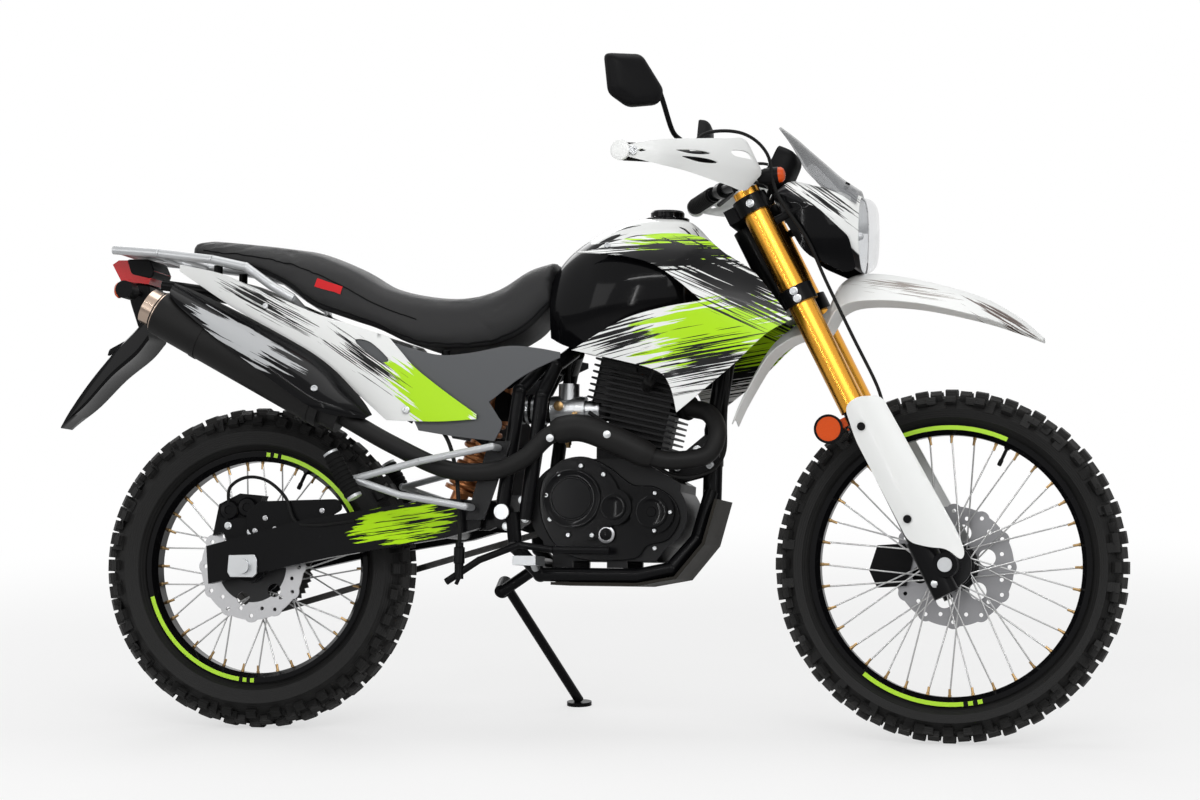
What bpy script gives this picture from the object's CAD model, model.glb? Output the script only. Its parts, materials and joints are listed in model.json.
import json
import math

import bmesh
import bpy
import numpy as np
from mathutils import Matrix, Vector
from mathutils.bvhtree import BVHTree
from mathutils.geometry import delaunay_2d_cdt

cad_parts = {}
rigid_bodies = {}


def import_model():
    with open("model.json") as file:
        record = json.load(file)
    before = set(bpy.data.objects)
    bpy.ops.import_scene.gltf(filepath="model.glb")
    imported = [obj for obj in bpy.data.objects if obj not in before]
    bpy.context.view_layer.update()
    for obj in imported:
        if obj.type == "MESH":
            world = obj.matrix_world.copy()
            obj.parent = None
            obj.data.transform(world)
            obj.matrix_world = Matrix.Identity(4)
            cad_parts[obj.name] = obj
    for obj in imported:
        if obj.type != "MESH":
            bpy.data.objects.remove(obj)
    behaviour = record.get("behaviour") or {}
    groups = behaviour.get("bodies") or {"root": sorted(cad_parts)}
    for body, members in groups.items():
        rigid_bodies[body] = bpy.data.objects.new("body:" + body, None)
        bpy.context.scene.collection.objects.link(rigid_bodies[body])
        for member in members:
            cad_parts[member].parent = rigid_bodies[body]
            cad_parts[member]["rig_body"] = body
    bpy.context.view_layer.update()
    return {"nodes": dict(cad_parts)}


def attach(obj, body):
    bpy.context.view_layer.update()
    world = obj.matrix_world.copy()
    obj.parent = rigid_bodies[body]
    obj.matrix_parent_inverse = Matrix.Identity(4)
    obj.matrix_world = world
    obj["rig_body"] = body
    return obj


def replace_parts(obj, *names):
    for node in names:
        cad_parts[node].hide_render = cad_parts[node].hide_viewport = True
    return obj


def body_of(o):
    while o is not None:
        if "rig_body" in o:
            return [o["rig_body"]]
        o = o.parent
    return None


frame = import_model()
nodes = frame["nodes"]

# Sizes shared with the solids, in millimetres of the upright bike
LEAN = math.radians(9)
HOME = Vector((663, 200, -1.01))
WHEELBASE, FRONT_R, REAR_R = 1410, 346, 326
RAKE = math.radians(27)
AXLE_LEAD, LEG_Y, TUBE_R = 25, 105, 27
CLAMP_LOW, CLAMP_HIGH = 598, 800
FRONT_BED, REAR_BED = 256, 216
FRONT_CROWN, REAR_CROWN = 50, 62
SPOKES = 36
TILT = Matrix.Rotation(-LEAN, 3, "X")
MUFFLER_Y = 168
MUFFLER_IN, MUFFLER_OUT = Vector((216, -MUFFLER_Y, 625.4)), Vector((-170, -MUFFLER_Y, 834))
MUFFLER_WAY = (MUFFLER_OUT - MUFFLER_IN).normalized()
MUFFLER_UP = Vector((MUFFLER_WAY.z, 0, -MUFFLER_WAY.x))
PIPE_R = 18
# Thickness of the bodywork, the two sides, and directions on the upright bike
SHEET = 3
SIDES = (-1, 1)
RIGHT, LEFT, AHEAD, UP = (0, -1, 0), (0, 1, 0), (1, 0, 0), (0, 0, 1)
# Camera place in millimetres before the shift home, turns in degrees, focal length in photo pixels
CAMERA_AT = Vector((1952, -6019, 1205))
CAMERA_TURNS = (11.53, 4.96, -0.92)
FOCAL_PIXELS, PHOTO_PIXELS, SENSOR = 3117, 1200, 36


def bike(p):
    """A point of the upright bike as a point of the parked model, in metres."""
    return (TILT @ Vector(p) - HOME) / 1000


def steer(n, y, s):
    """A point of the fork: n ahead of the axle, s up the fork."""
    c, k = math.cos(RAKE), math.sin(RAKE)
    return Vector((WHEELBASE + n * c - s * k, y, FRONT_R + n * k + s * c))


FORK_WAY = steer(0, 0, 1) - steer(0, 0, 0)


def lower(p):
    """A point given from the lower clamp, in upright directions."""
    return steer(0, 0, CLAMP_LOW + 2) + Vector(p)


def upper(p):
    """A point given from the upper clamp, in upright directions."""
    return steer(-AXLE_LEAD, 0, CLAMP_HIGH) + Vector(p)


# Curves and meshes

def spline(pts, steps, closed=False):
    """Points of a smooth curve through pts."""
    pts = [Vector(p) for p in pts]
    n = len(pts)
    out = []
    for i in range(n if closed else n - 1):
        a = pts[(i - 1) % n] if closed or i > 0 else 2 * pts[0] - pts[1]
        b, c = pts[i], pts[(i + 1) % n]
        d = pts[(i + 2) % n] if closed or i + 2 < n else 2 * pts[-1] - pts[-2]
        for k in range(steps):
            t = k / steps
            out.append(0.5 * (2 * b + (c - a) * t + (2 * a - 5 * b + 4 * c - d) * t * t
                              + (3 * b - a - 3 * c + d) * t ** 3))
    if not closed:
        out.append(pts[-1].copy())
    return out


def outline(pts, corners, steps=8):
    """Closed smooth outline through pts that keeps the numbered corners sharp."""
    if not corners:
        return spline(pts, steps, closed=True)
    n = len(pts)
    corners = sorted(corners)
    out = []
    for a, b in zip(corners, corners[1:] + [corners[0] + n]):
        part = [pts[i % n] for i in range(a, b + 1)]
        out += spline(part, steps)[:-1] if len(part) > 2 else [Vector(part[0])]
    return out


def rounded(pts, r, steps=4):
    """Closed outline of (a, b) points with straight sides and rounded corners."""
    out = []
    n = len(pts)
    for i in range(n):
        a, b, c = (Vector(pts[k % n]) for k in (i - 1, i, i + 1))
        start = b + (a - b).normalized() * min(r, 0.45 * (a - b).length)
        end = b + (c - b).normalized() * min(r, 0.45 * (c - b).length)
        for t in (k / steps for k in range(steps + 1)):
            out.append((1 - t) ** 2 * start + 2 * t * (1 - t) * b + t * t * end)
    return out


def prism(edge, y0, y1):
    """Solid between two planes across the bike from an outline of (x, z) points."""
    n = len(edge)
    verts = [Vector((a, y, b)) for y in (y0, y1) for a, b in edge]
    faces = [tuple(range(n)), tuple(range(2 * n - 1, n - 1, -1))]
    return verts, faces + [(i, (i + 1) % n, n + (i + 1) % n, n + i) for i in range(n)]


def soften(obj, width, segments=3, name="edges", angle=40):
    """Rounds the edges of a piece that are sharper than an angle, width in millimetres."""
    b = obj.modifiers.new(name, "BEVEL")
    b.width = width / 1000
    b.segments = segments
    b.limit_method = "ANGLE"
    b.angle_limit = math.radians(angle)
    b.harden_normals = True
    return obj


def piece(name, shape, finish, node, sharp=35):
    """A smooth mesh from points of the upright bike, riding with a node and taking that node's slot."""
    verts, faces = shape
    mesh = bpy.data.meshes.new(name)
    mesh.from_pydata([bike(v) for v in verts], [], faces)
    bm = bmesh.new()
    bm.from_mesh(mesh)
    bmesh.ops.remove_doubles(bm, verts=bm.verts, dist=1e-6)
    bmesh.ops.recalc_face_normals(bm, faces=bm.faces)
    for f in bm.faces:
        f.smooth = True
    for e in bm.edges:
        e.smooth = len(e.link_faces) == 2 and e.calc_face_angle(0) < math.radians(sharp)
    bm.to_mesh(mesh)
    bm.free()
    mesh.materials.append(LOOKS[finish])
    obj = bpy.data.objects.new(name, mesh)
    bpy.context.collection.objects.link(obj)
    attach(obj, body_of(nodes[node])[0])
    return obj


def both(verts, faces):
    """A mesh and its mirror image across the bike."""
    n = len(verts)
    other = [Vector((v[0], -v[1], v[2])) for v in verts]
    return list(verts) + other, list(faces) + [tuple(i + n for i in reversed(f)) for f in faces]


def grid_faces(rows, cols, wrap=False):
    """Quads of a grid of points in rows."""
    out = []
    for j in range(rows - 1):
        for i in range(cols if wrap else cols - 1):
            k = (i + 1) % cols
            out.append((j * cols + i, j * cols + k, (j + 1) * cols + k, (j + 1) * cols + i))
    return out


def tube_faces(rows, sides):
    """Faces of a tube of closed rings, with both ends closed."""
    ends = [tuple(range(sides - 1, -1, -1)), tuple(range((rows - 1) * sides, rows * sides))]
    return grid_faces(rows, sides, wrap=True) + ends


def dome(x, zb, zt, w, shares, foot=()):
    """Ring across the bike from one side's shares of half width and height; foot points come first."""
    half = spline([(w * a, zb + (zt - zb) * b) for a, b in shares], 5)[:26]
    side = list(foot) + [tuple(p) for p in half]
    return [Vector((x, -a, b)) for a, b in side] + [Vector((x, a, b)) for a, b in reversed(side[:-1])]


def loft(rings, along=5, wrap=True, caps=True):
    """Smooth surface through rings of equal length."""
    cols = [spline(c, along) for c in zip(*rings)]
    rows = list(zip(*cols))
    n = len(rows[0])
    verts = [Vector(p) for r in rows for p in r]
    faces = grid_faces(len(rows), n, wrap)
    if caps:
        faces.append(tuple(range(n)))
        faces.append(tuple(range(len(verts) - 1, len(verts) - 1 - n, -1)))
    return verts, faces


def fill(edge, place, step, holes=()):
    """Surface inside a closed outline of (u, v) points; place turns (u, v) into a bike point."""
    loops = [edge] + list(holes)
    pts, rims = [], []
    for loop in loops:
        start = len(pts)
        pts += [Vector((p[0], p[1])) for p in loop]
        rims += [(start + i, start + (i + 1) % len(loop)) for i in range(len(loop))]
    u0, u1 = min(p[0] for p in edge), max(p[0] for p in edge)
    v0, v1 = min(p[1] for p in edge), max(p[1] for p in edge)
    rim = np.array([p[:] for p in pts])
    for i in range(1, int((u1 - u0) / step) + 1):
        for j in range(1, int((v1 - v0) / step) + 1):
            q = (u0 + (i + 0.5 * (j % 2)) * step, v0 + j * step)
            if np.hypot(rim[:, 0] - q[0], rim[:, 1] - q[1]).min() > 0.55 * step:
                pts.append(Vector(q))
    got = delaunay_2d_cdt(pts, rims, [], 0, 1e-4)
    flat, tris = got[0], got[2]

    def inside(p, loop):
        hit = False
        for a, b in zip(loop, list(loop[1:]) + [loop[0]]):
            if (a[1] > p[1]) != (b[1] > p[1]) and p[0] < (b[0] - a[0]) * (p[1] - a[1]) / (b[1] - a[1]) + a[0]:
                hit = not hit
        return hit

    keep = []
    for t in tris:
        m = sum((flat[i] for i in t), Vector((0, 0))) / 3
        if inside(m, edge) and not any(inside(m, h) for h in holes):
            keep.append(tuple(t))
    return [Vector(place(p[0], p[1])) for p in flat], keep


def fitted(samples):
    """Smooth side distance y(x, z) through sample points (x, y, z)."""
    s = np.array([tuple(p) for p in samples])
    mid, span = s.mean(0), s.std(0) + 1

    def terms(x, z):
        a, b = (x - mid[0]) / span[0], (z - mid[2]) / span[2]
        return np.stack([a ** i * b ** j for i in range(4) for j in range(4 - i)], -1)

    coef = np.linalg.lstsq(terms(s[:, 0], s[:, 2]), s[:, 1], rcond=None)[0]
    return lambda x, z: float(terms(np.array(x), np.array(z)) @ coef)


def thicken(obj, t, edge=0.8, offset=-1):
    """Gives a sheet its thickness and a rounded rim, sizes in millimetres."""
    m = obj.modifiers.new("thickness", "SOLIDIFY")
    m.thickness = t / 1000
    m.offset = offset
    m.use_even_offset = True
    return soften(obj, edge, 2, "rim", 50) if edge else obj


def sweep(pts, r, sides=10):
    """Tube mesh along points of the upright bike; the radius is one value or one for each point."""
    pts = [Vector(p) for p in pts]
    radii = r if isinstance(r, list) else [r] * len(pts)
    verts = []
    side = None
    for i, p in enumerate(pts):
        d = (pts[min(i + 1, len(pts) - 1)] - pts[max(i - 1, 0)]).normalized()
        if side is None:
            side = d.orthogonal().normalized()
        side = (side - d * side.dot(d)).normalized()
        up = d.cross(side)
        verts += [p + radii[i] * (math.cos(a) * side + math.sin(a) * up)
                  for a in (2 * math.pi * k / sides for k in range(sides))]
    return verts, tube_faces(len(pts), sides)


def lathe(profile, base, axis, sides=32):
    """Turned mesh from (radius, height) points about an axis of the upright bike."""
    axis = Vector(axis).normalized()
    a = axis.orthogonal().normalized()
    b = axis.cross(a)
    base = Vector(base)
    verts = []
    for r, h in profile:
        verts += [base + h * axis + max(r, 0.01) * (math.cos(t) * a + math.sin(t) * b)
                  for t in (2 * math.pi * k / sides for k in range(sides))]
    return verts, tube_faces(len(profile), sides)


def repeated(profile, count, pitch):
    """(radius, height) points repeated along the axis of a turned mesh."""
    return [(r, h + k * pitch) for k in range(count) for r, h in profile]


def merged(*parts):
    """Several (verts, faces) as one."""
    verts, faces = [], []
    for v, f in parts:
        n = len(verts)
        verts += list(v)
        faces += [tuple(i + n for i in g) for g in f]
    return verts, faces


def bolt(p, axis, r=6.0, h=5.0):
    """Flanged hex screw head standing on a face."""
    return merged(lathe([(r * 1.25, 0), (r * 1.25, h * 0.25), (r * 1.05, h * 0.3)], p, axis, 20),
                  lathe([(r, h * 0.25), (r, h * 0.9), (r * 0.85, h)], p, axis, 6))


def cap_screw(p, axis, r=5.0, h=4.0):
    """Round socket screw head with a dished middle."""
    return lathe([(r, 0), (r, h * 0.8), (r * 0.85, h), (r * 0.5, h), (r * 0.45, h * 0.5), (0, h * 0.5)], p,
                 axis, 16)


# Materials

def new_mat(name):
    mat = bpy.data.materials.new(name)
    mat.use_nodes = True
    nt = mat.node_tree
    nt.nodes.clear()
    out = nt.nodes.new("ShaderNodeOutputMaterial")
    bsdf = nt.nodes.new("ShaderNodeBsdfPrincipled")
    nt.links.new(bsdf.outputs[0], out.inputs[0])
    return mat, nt, bsdf


def put(nt, sock, value):
    """Links a socket or sets a plain value."""
    if isinstance(value, bpy.types.NodeSocket):
        nt.links.new(value, sock)
    else:
        sock.default_value = value


def add(nt, kind, settings=None, out=0, **inputs):
    """Adds a shader node and returns one of its outputs; i0, i1 and so on are inputs by number."""
    n = nt.nodes.new("ShaderNode" + kind)
    for k, v in (settings or {}).items():
        setattr(n, k, v)
    for k, v in inputs.items():
        key = int(k[1:]) if k[0] == "i" and k[1:].isdigit() else k.replace("_", " ")
        put(nt, n.inputs[key], v)
    return n.outputs[out]


def paint(nt, bsdf, base, rough, spec, metal=0.0):
    """Sets the main inputs of a finish."""
    for name, value in (("Base Color", base), ("Roughness", rough), ("Specular IOR Level", spec),
                        ("Metallic", metal)):
        put(nt, bsdf.inputs[name], value)


def bumps(nt, bsdf, strength, distance, height):
    put(nt, bsdf.inputs["Normal"], add(nt, "Bump", Strength=strength, Distance=distance, Height=height))


def vector(nt, op, a, b):
    return add(nt, "VectorMath", {"operation": op}, i0=a, i1=b)


def calc(nt, op, a, b=0.0, c=0.0):
    return add(nt, "Math", {"operation": op}, i0=a, i1=b, i2=c)


def band(nt, value, lo, hi):
    """0 below lo, 1 above hi, smooth between."""
    return add(nt, "MapRange", {"interpolation_type": "SMOOTHSTEP"}, Value=value, From_Min=lo, From_Max=hi)


def mix(nt, fac, a, b):
    return add(nt, "Mix", {"data_type": "RGBA"}, 2, i0=fac, i6=a, i7=b)


def along(nt, coord, axis):
    """One coordinate of a place."""
    return add(nt, "SeparateXYZ", None, axis, Vector=coord)


def length(nt, arrow):
    return add(nt, "VectorMath", {"operation": "LENGTH"}, "Value", i0=arrow)


def rgb(r, g, b):
    return (r, g, b, 1.0)


def here(nt):
    """Place on the parked model, in metres, that goes with the piece."""
    return nt.nodes.new("ShaderNodeTexCoord").outputs["Object"]


def upright(nt):
    """Place on the upright bike, in metres."""
    shift = TILT.transposed() @ HOME / 1000
    return add(nt, "Mapping", Vector=here(nt), Location=shift, Rotation=(LEAN, 0, 0))


def from_axle(nt, axle):
    """Place measured from a wheel's axle, in metres, and its distance from that axle."""
    at = vector(nt, "SUBTRACT", upright(nt), tuple(v / 1000 for v in axle))
    return at, length(nt, vector(nt, "MULTIPLY", at, (1, 0, 1)))


def noise(nt, coord, scale, detail=3.0, rough=0.5):
    return add(nt, "TexNoise", Vector=coord, Scale=scale, Detail=detail, Roughness=rough)


def streak(nt, coord, middle, size, angle, seed, fine=16.0, full=0.75):
    """Ragged brush strokes inside a slanted ellipse on the bike's side: 1 on a stroke."""
    at = vector(nt, "SUBTRACT", coord, (middle[0], 0, middle[1]))
    flat = vector(nt, "MULTIPLY", at, (1, 0, 1))
    turned = add(nt, "Mapping", {"vector_type": "TEXTURE"}, Vector=flat,
                 Rotation=(0, -math.radians(angle), 0), Scale=(size[0], 1, size[1]))
    body = add(nt, "TexGradient", {"gradient_type": "SPHERICAL"}, Vector=turned)
    long = add(nt, "Mapping", Vector=turned, Location=(seed, seed, seed), Scale=(0.9, 1, fine))
    grain = noise(nt, long, 1.0, 3.0, 0.55)
    spread = calc(nt, "MULTIPLY_ADD", grain, 1.9, calc(nt, "MULTIPLY", body, full))
    return calc(nt, "MULTIPLY", band(nt, spread, 1.26, 1.30), band(nt, body, 0.01, 0.05))


def surface(name, colour, rough, metal=0.0, spread=0.25, bump=0.1, grain=900.0, coat=0.0, streaks=None,
            spec=0.5):
    """Everyday finish: slow and fine changes of tone and gloss over one base colour."""
    mat, nt, bsdf = new_mat(name)
    at = upright(nt)
    slow = noise(nt, at, 6.0, 4.0)
    fast = noise(nt, at, grain, 2.0)
    tone = calc(nt, "MULTIPLY_ADD", slow, spread, 1 - spread / 2)
    base = add(nt, "VectorMath", {"operation": "SCALE"}, i0=colour[:3], Scale=tone)
    for mask, tint in (streaks(nt, at) if streaks else []):
        base = mix(nt, mask, base, tint)
    paint(nt, bsdf, base, calc(nt, "MULTIPLY_ADD", slow, rough * 0.5, rough * 0.75), spec, metal)
    if coat:
        bsdf.inputs["Coat Weight"].default_value = coat
        bsdf.inputs["Coat Roughness"].default_value = 0.06
    if bump:
        bumps(nt, bsdf, bump, 0.0006, fast)
    return mat


WHITE = rgb(0.80, 0.81, 0.80)
BLACK = rgb(0.003, 0.003, 0.0035)
LIME = rgb(0.42, 0.74, 0.012)


def strokes(*rows):
    """Marks made of streaks alone; each row ends with its colour."""
    return lambda nt, at: [(streak(nt, at, *row[:-1]), row[-1]) for row in rows]


shroud_marks = strokes(((0.965, 0.790), (0.200, 0.085), 10, 3.1, 12.0, 1.0, LIME),
                       ((0.900, 0.968), (0.160, 0.040), -6, 7.7, 9.0, 1.0, LIME),
                       ((1.010, 0.880), (0.210, 0.075), -24, 5.3, 18.0, 0.8, BLACK),
                       ((0.945, 0.735), (0.180, 0.075), 10, 1.9, 20.0, 0.6, BLACK),
                       ((0.770, 0.785), (0.130, 0.045), 14, 9.2, 12.0, 0.5, BLACK),
                       ((0.860, 0.945), (0.220, 0.050), 2, 4.4, 16.0, 0.8, BLACK))
tail_marks = strokes(((0.405, 0.655), (0.150, 0.060), -34, 2.6, 10.0, 1.2, LIME),
                     ((0.250, 0.742), (0.150, 0.036), -34, 6.1, 12.0, 0.5, BLACK),
                     ((0.040, 0.852), (0.140, 0.030), -27, 8.8, 12.0, 0.6, BLACK))
shield_marks = strokes(((0.020, 0.775), (0.150, 0.040), -28, 2.4, 7.0, 0.9, rgb(0.42, 0.43, 0.44)))


def tank_marks(nt, at):
    long = add(nt, "Mapping", Vector=at, Scale=(4, 30, 30))
    edge = calc(nt, "MULTIPLY_ADD", noise(nt, long, 1.0, 3.0), 0.03, along(nt, at, "Z"))
    top = band(nt, edge, 0.994, 0.997)
    line = band(nt, noise(nt, add(nt, "Mapping", Vector=at, Scale=(7, 60, 20)), 1.0, 2.0), 0.60, 0.62)
    return [(top, WHITE), (calc(nt, "MULTIPLY", top, line), BLACK)]


def fender_marks(nt, at):
    side = band(nt, calc(nt, "ABSOLUTE", along(nt, at, "Y")), 0.034, 0.040)
    tip = streak(nt, at, (1.520, 0.840), (0.140, 0.040), -30, 3.7, 14.0, 0.6)
    root = streak(nt, at, (1.320, 0.895), (0.140, 0.030), -8, 6.6, 14.0, 0.5)
    return [(calc(nt, "MULTIPLY", tip, side), rgb(0.10, 0.07, 0.06)),
            (calc(nt, "MULTIPLY", root, side), rgb(0.25, 0.22, 0.20))]


def fairing_marks(nt, at):
    wedge = calc(nt, "MULTIPLY_ADD", along(nt, at, "X"), 0.917, along(nt, at, "Z"))
    low = calc(nt, "SUBTRACT", 1.0, band(nt, wedge, 2.080, 2.084))
    return [(streak(nt, at, (1.150, 1.080), (0.150, 0.090), -36, 5.9, 16.0, 0.42), BLACK),
            (low, rgb(0.016, 0.016, 0.018))]


def arm_marks(nt, at):
    side = calc(nt, "LESS_THAN", along(nt, at, "Y"), -0.1175)
    lime = streak(nt, at, (0.330, 0.415), (0.130, 0.045), 9, 4.9, 8.0, 1.4)
    dark = streak(nt, at, (0.345, 0.412), (0.120, 0.045), 9, 8.1, 14.0, 0.4)
    return [(calc(nt, "MULTIPLY", lime, side), LIME), (calc(nt, "MULTIPLY", dark, side), BLACK)]


def peg_marks(nt, at):
    """Black hanger plates at the feet of the silver peg loops."""
    side = calc(nt, "ABSOLUTE", along(nt, at, "Y"))
    return [(calc(nt, "LESS_THAN", side, 0.134), BLACK)]


DARK = {"spec": 0.06}
GLOSS = dict(spread=0.2, bump=0.02, coat=0.08, **DARK)
PRINTED = dict(spread=0.04, bump=0.02, coat=0.06, spec=0.18)
PAINTED = dict(metal=0.45, spread=0.08, bump=0.05)
LENS = dict(spread=0.2, grain=260, coat=0.12, spec=0.2)
LOOKS = {
    "white": surface("white_plastic", WHITE, 0.34, spread=0.04, bump=0.03, coat=0.2),
    "shroud": surface("shroud_plastic", WHITE, 0.30, streaks=shroud_marks, **PRINTED),
    "tail": surface("tail_plastic", WHITE, 0.30, streaks=tail_marks, **PRINTED),
    "fender": surface("fender_plastic", WHITE, 0.34, spread=0.04, bump=0.03, coat=0.12, spec=0.3,
                      streaks=fender_marks),
    "fairing": surface("fairing_plastic", WHITE, 0.30, streaks=fairing_marks, **PRINTED),
    "tank": surface("tank_paint", BLACK, 0.12, spread=0.2, bump=0.015, grain=220, coat=0.10,
                    streaks=tank_marks, **DARK),
    "gloss": surface("gloss_black", BLACK, 0.14, **GLOSS),
    "grey": surface("grey_plastic", rgb(0.070, 0.073, 0.078), 0.40, spread=0.12, bump=0.12, grain=1400,
                    spec=0.3),
    "frame": surface("satin_black", rgb(0.004, 0.004, 0.0045), 0.28, spread=0.35, bump=0.08, coat=0.04,
                     **DARK),
    "arm": surface("arm_paint", rgb(0.004, 0.004, 0.0045), 0.26, spread=0.3, bump=0.06, coat=0.05,
                   streaks=arm_marks, **DARK),
    "cast": surface("cast_black", rgb(0.006, 0.006, 0.0065), 0.42, spread=0.45, bump=0.35, grain=700,
                    spec=0.14),
    "cover": surface("cover_black", BLACK, 0.18, spread=0.3, bump=0.1, grain=500, coat=0.08, **DARK),
    "plastic": surface("black_plastic", rgb(0.006, 0.006, 0.0065), 0.44, spread=0.3, bump=0.2, grain=1100,
                       **DARK),
    "rubber": surface("rubber", rgb(0.006, 0.006, 0.006), 0.70, spread=0.4, bump=0.4, grain=600, **DARK),
    "zinc": surface("zinc", rgb(0.46, 0.47, 0.48), 0.32, metal=1.0, spread=0.25, bump=0.1, grain=500),
    "alloy": surface("alloy", rgb(0.42, 0.43, 0.44), 0.36, metal=0.9, spread=0.15, bump=0.12, grain=700),
    "steel": surface("steel", rgb(0.34, 0.34, 0.35), 0.30, metal=1.0, spread=0.2, bump=0.06, grain=800),
    "gold": surface("gold_anodised", rgb(0.72, 0.34, 0.045), 0.26, metal=1.0, spread=0.14, bump=0.05,
                    grain=900),
    "bronze": surface("bronze", rgb(0.36, 0.14, 0.05), 0.35, metal=0.7, spread=0.3, bump=0.1),
    "brass": surface("brass", rgb(0.34, 0.22, 0.10), 0.34, metal=1.0, spread=0.3, bump=0.1),
    "exhaust": surface("exhaust_black", rgb(0.008, 0.0078, 0.0078), 0.5, spread=0.5, bump=0.3, grain=500,
                       spec=0.14),
    "chain": surface("chain_steel", rgb(0.030, 0.029, 0.028), 0.40, metal=0.6, spread=0.6, bump=0.2,
                     grain=300),
    "skid": surface("skid_plate", rgb(0.020, 0.018, 0.015), 0.60, spread=0.6, bump=0.25, grain=300,
                    spec=0.08),
    "lime": surface("lime_tape", LIME, 0.40, spread=0.10, bump=0.02, coat=0.2),
    "tag": surface("red_tag", rgb(0.55, 0.012, 0.016), 0.5, spread=0.12, bump=0.15, grain=1500, spec=0.2),
    "red": surface("red_lens", rgb(0.46, 0.004, 0.006), 0.16, bump=0.10, **LENS),
    "shield": surface("shield_gloss", BLACK, 0.14, streaks=shield_marks, **GLOSS),
    "pegs": surface("peg_paint", rgb(0.40, 0.41, 0.42), 0.34, streaks=peg_marks, spec=0.3, **PAINTED),
    "end_cap": surface("end_cap", rgb(0.46, 0.36, 0.29), 0.22, metal=1.0, spread=0.3, bump=0.06),
    "amber": surface("amber_lens", rgb(0.60, 0.068, 0.003), 0.2, bump=0.5, **LENS),
    "mirror": surface("mirror_glass", rgb(0.80, 0.81, 0.82), 0.04, metal=1.0, spread=0.03, bump=0.0),
    "silver": surface("silver_paint", rgb(0.44, 0.45, 0.46), 0.34, coat=0.2, **PAINTED),
    "hose": surface("hose_rubber", rgb(0.012, 0.012, 0.012), 0.42, spread=0.3, bump=0.15, grain=700, **DARK),
}


def vinyl():
    """Seat cover: leather-like grain over soft black."""
    mat, nt, bsdf = new_mat("seat_vinyl")
    at = upright(nt)
    cells = add(nt, "TexVoronoi", {"feature": "DISTANCE_TO_EDGE"}, Vector=at, Scale=420.0)
    slow = noise(nt, at, 7.0)
    tone = mix(nt, slow, rgb(0.006, 0.006, 0.0065), rgb(0.013, 0.013, 0.0135))
    paint(nt, bsdf, tone, calc(nt, "MULTIPLY_ADD", slow, 0.18, 0.40), 0.25)
    bumps(nt, bsdf, 0.35, 0.0006, band(nt, cells, 0.0, 0.12))
    return mat


def tyre(name, middle):
    """Tyre rubber with moulded rings on the wall and dust in the tread."""
    mat, nt, bsdf = new_mat(name)
    at, radius = from_axle(nt, middle)
    rings = calc(nt, "SINE", calc(nt, "MULTIPLY", radius, 1500.0))
    slow = noise(nt, at, 9.0, 4.0)
    fine = noise(nt, at, 420.0, 3.0)
    rubber = mix(nt, slow, rgb(0.003, 0.003, 0.003), rgb(0.012, 0.0118, 0.0115))
    tip = middle[2] / 1000
    worn = band(nt, radius, tip - 0.026, tip - 0.010)
    tone = mix(nt, worn, rubber, rgb(0.022, 0.0215, 0.021))
    paint(nt, bsdf, tone, calc(nt, "MULTIPLY_ADD", slow, 0.25, 0.46), 0.2)
    bumps(nt, bsdf, 0.35, 0.0010, calc(nt, "MULTIPLY_ADD", rings, 0.4, fine))
    return mat


def turned(name, middle, inner, colour, rough):
    """Bare metal outside a radius about a wheel's axle, black paint inside it."""
    mat, nt, bsdf = new_mat(name)
    _, radius = from_axle(nt, middle)
    out = band(nt, radius, inner - 0.0004, inner + 0.0004)
    rings = noise(nt, add(nt, "CombineXYZ", X=radius), 2600.0, 2.0)
    tone = mix(nt, rings, tuple(0.75 * c for c in colour[:3]) + (1.0,), colour)
    base = mix(nt, out, rgb(0.008, 0.008, 0.009), tone)
    paint(nt, bsdf, base, calc(nt, "MULTIPLY_ADD", rings, 0.12, rough), 0.25, out)
    return mat


def clear(name, tint, alpha, low=None):
    """See-through plastic; its tint fades to low from the screen's tip down to the lamp."""
    mat, nt, bsdf = new_mat(name)
    at = upright(nt)
    fade = band(nt, along(nt, at, "Z"), 1.060, 1.200)
    tone = mix(nt, fade, low or tint, tint)
    base = mix(nt, noise(nt, at, 6.0), tone, tint)
    paint(nt, bsdf, base, calc(nt, "MULTIPLY_ADD", noise(nt, at, 30.0), 0.03, 0.03), 0.5)
    bsdf.inputs["Alpha"].default_value = alpha
    return mat


LOOKS["vinyl"] = vinyl()
LOOKS["front_tyre"] = tyre("front_tyre_rubber", (WHEELBASE, 0, FRONT_R))
LOOKS["rear_tyre"] = tyre("rear_tyre_rubber", (0, 0, REAR_R))
LOOKS["front_hub"] = turned("front_spokes", (WHEELBASE, 0, FRONT_R), 0.0435, rgb(0.50, 0.50, 0.50), 0.22)
LOOKS["rear_hub"] = turned("rear_spokes", (0, 0, REAR_R), 0.0565, rgb(0.50, 0.50, 0.50), 0.22)
LOOKS["front_disc"] = turned("front_disc_steel", (WHEELBASE, 0, FRONT_R), 0.050, rgb(0.30, 0.30, 0.31), 0.26)
LOOKS["rear_disc"] = turned("rear_disc_steel", (0, 0, REAR_R), 0.072, rgb(0.46, 0.46, 0.47), 0.24)
LOOKS["clear"] = clear("lamp_glass", rgb(0.55, 0.57, 0.60), 0.22)
LOOKS["screen"] = clear("screen_plastic", rgb(0.10, 0.105, 0.11), 0.50, rgb(0.30, 0.31, 0.33))

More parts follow.
